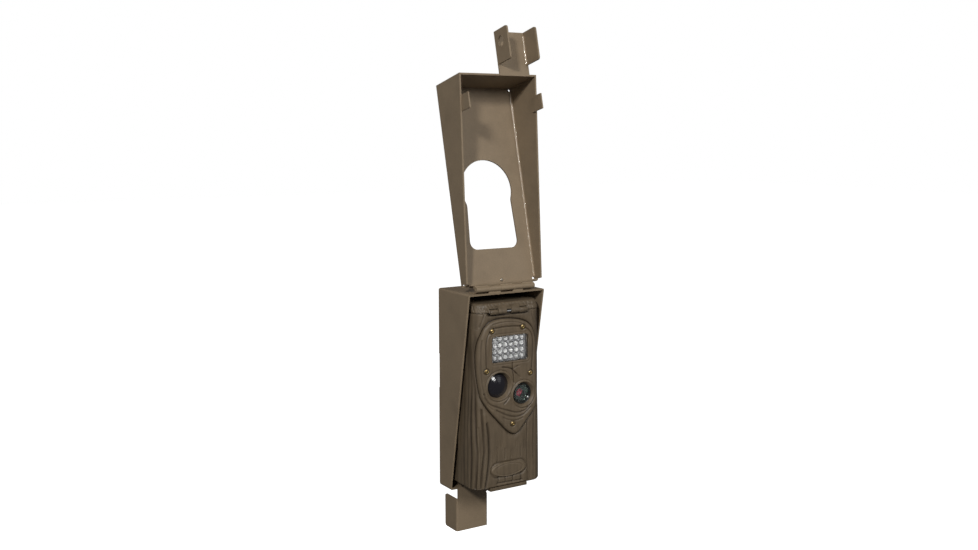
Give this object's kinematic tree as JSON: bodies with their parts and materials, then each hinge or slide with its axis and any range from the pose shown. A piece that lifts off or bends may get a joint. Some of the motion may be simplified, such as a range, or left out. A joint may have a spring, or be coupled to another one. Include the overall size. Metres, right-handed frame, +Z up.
{
  "type": "trail camera",
  "caption": "Trail camera with a hinged front, infrared flash window, motion dome and lens, in a folded-steel security box with its hinged cover swung open.",
  "frame": {"origin": "centre of the box's flat back face, the face that lies against the tree", "axes": "+X to the right seen from the front, +Y into the tree, +Z up along the box; the camera looks along -Y"},
  "size_m": [0.102, 0.082, 0.584],
  "materials": {
    "steel_paint": "satin taupe-brown powder coat",
    "camera_plastic": "matte moulded brown plastic",
    "bezel_plastic": "matte moulded brown plastic",
    "brass": "machined brass",
    "bright_steel": "polished steel",
    "zinc_steel": "zinc plated",
    "rubber": "black rubber",
    "black_plastic": "matte black plastic",
    "battery_wrap": "printed foil, plain",
    "clear_plastic": "clear plastic",
    "circuit_board": "green solder mask",
    "led_epoxy": "clear epoxy",
    "dark_gloss": "glossy black",
    "lens_glass": "coated glass",
    "button_grey": "matte grey plastic",
    "card_blue": "matte plastic"
  },
  "bodies": {
    "root": {"box_base": "steel_paint", "base_hinge_leaf": "steel_paint", "box_hinge_pin": "steel_paint", "camera_bracket": "zinc_steel", "bracket_screws": "zinc_steel", "rear_pads": "rubber", "rear_housing": "camera_plastic", "door_gasket": "rubber", "door_hinge_pin": "bright_steel", "battery_tray": "black_plastic", "battery_cells": "battery_wrap", "battery_contacts": "zinc_steel", "battery_springs": "zinc_steel"},
    "cover": {"box_cover": "steel_paint", "cover_hinge_leaf": "steel_paint", "cover_rivet": "steel_paint"},
    "door": {"front_shell": "camera_plastic", "face_bezel": "bezel_plastic", "bezel_screws": "brass", "flash_window": "clear_plastic", "led_board": "circuit_board", "flash_leds": "led_epoxy", "led_header": "zinc_steel", "pir_lens": "dark_gloss", "pir_sensor": "zinc_steel", "lens_window": "lens_glass", "lens_barrel": "black_plastic", "front_element": "lens_glass", "image_sensor": "dark_gloss", "main_board": "circuit_board", "board_standoffs": "zinc_steel", "inner_panel": "black_plastic", "panel_screws": "zinc_steel", "lcd_display": "dark_gloss", "lcd_window": "clear_plastic", "rotary_switch": "black_plastic", "tact_switches": "black_plastic", "sd_socket": "zinc_steel", "oval_badge": "bezel_plastic", "latch_pin": "zinc_steel"},
    "latch": {"door_latch": "camera_plastic"},
    "knob": {"mode_knob": "black_plastic"},
    "set_key": {"set_button": "button_grey"},
    "more_key": {"more_button": "button_grey"},
    "card": {"sd_card": "card_blue"}
  },
  "joints": [
    {"name": "cover_hinge", "type": "hinge", "parent": "root", "child": "cover", "pos_m": [0, -0.068, 0.123], "axis": [-1, 0, 0], "range_deg": [-193.7, 0]},
    {"name": "door_hinge", "type": "hinge", "parent": "root", "child": "door", "pos_m": [0, -0.076, 0.0976], "axis": [-1, 0, 0], "range_deg": [0, 100]},
    {"name": "latch_pivot", "type": "hinge", "parent": "door", "child": "latch", "pos_m": [0, -0.069, -0.1084], "axis": [-1, 0, 0], "range_deg": [0, 10], "stiffness_Nm_per_rad": 0.5},
    {"name": "mode_knob_turn", "type": "hinge", "parent": "door", "child": "knob", "pos_m": [-0.026, -0.04, 0.047], "axis": [0, 1, 0], "range_deg": [0, 300]},
    {"name": "set_button_press", "type": "slide", "parent": "door", "child": "set_key", "axis": [0, -1, 0], "range_m": [0, 0.0007], "stiffness_N_per_m": 600},
    {"name": "more_button_press", "type": "slide", "parent": "door", "child": "more_key", "axis": [0, -1, 0], "range_m": [0, 0.0007], "stiffness_N_per_m": 600},
    {"name": "sd_card_slide", "type": "slide", "parent": "door", "child": "card", "axis": [0, 0, 1], "range_m": [0, 0.014]}
  ]
}
